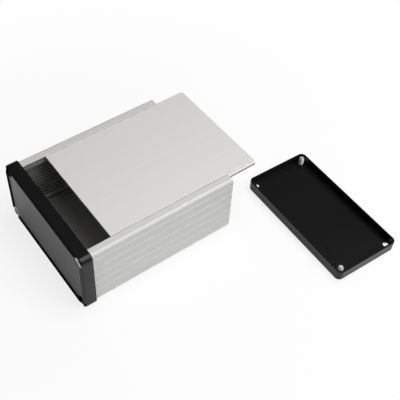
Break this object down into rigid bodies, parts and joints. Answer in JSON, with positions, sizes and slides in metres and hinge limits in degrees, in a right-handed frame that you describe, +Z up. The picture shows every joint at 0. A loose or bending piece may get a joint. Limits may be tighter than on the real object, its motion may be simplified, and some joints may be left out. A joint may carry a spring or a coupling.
{
  "type": "extruded enclosure",
  "caption": "Extruded aluminium electronics enclosure with card slots, slide-in cover and screwed moulded end caps, one cap off.",
  "frame": {"origin": "centre of the extrusion's flat underside", "axes": "+X along the extrusion to its open end, +Y across it, +Z up from its underside"},
  "size_m": [0.213, 0.1858, 0.0532],
  "materials": {
    "body_aluminium": "natural satin anodised",
    "cover_aluminium": "natural satin anodised",
    "cap_plastic": "moulded, satin black",
    "screw_steel": "plated, dull"
  },
  "bodies": {
    "enclosure": {"extruded_body": "body_aluminium", "fitted_end_cap": "cap_plastic", "fitted_screw_upper": "screw_steel", "fitted_screw_lower": "screw_steel", "loose_end_cap": "cap_plastic", "loose_screw_far": "screw_steel", "loose_screw_near": "screw_steel"},
    "cover": {"slide_cover": "cover_aluminium"}
  },
  "joints": [
    {"name": "cover_slide", "type": "slide", "parent": "enclosure", "child": "cover", "axis": [1, 0, 0], "range_m": [-0.024, 0.084]}
  ]
}
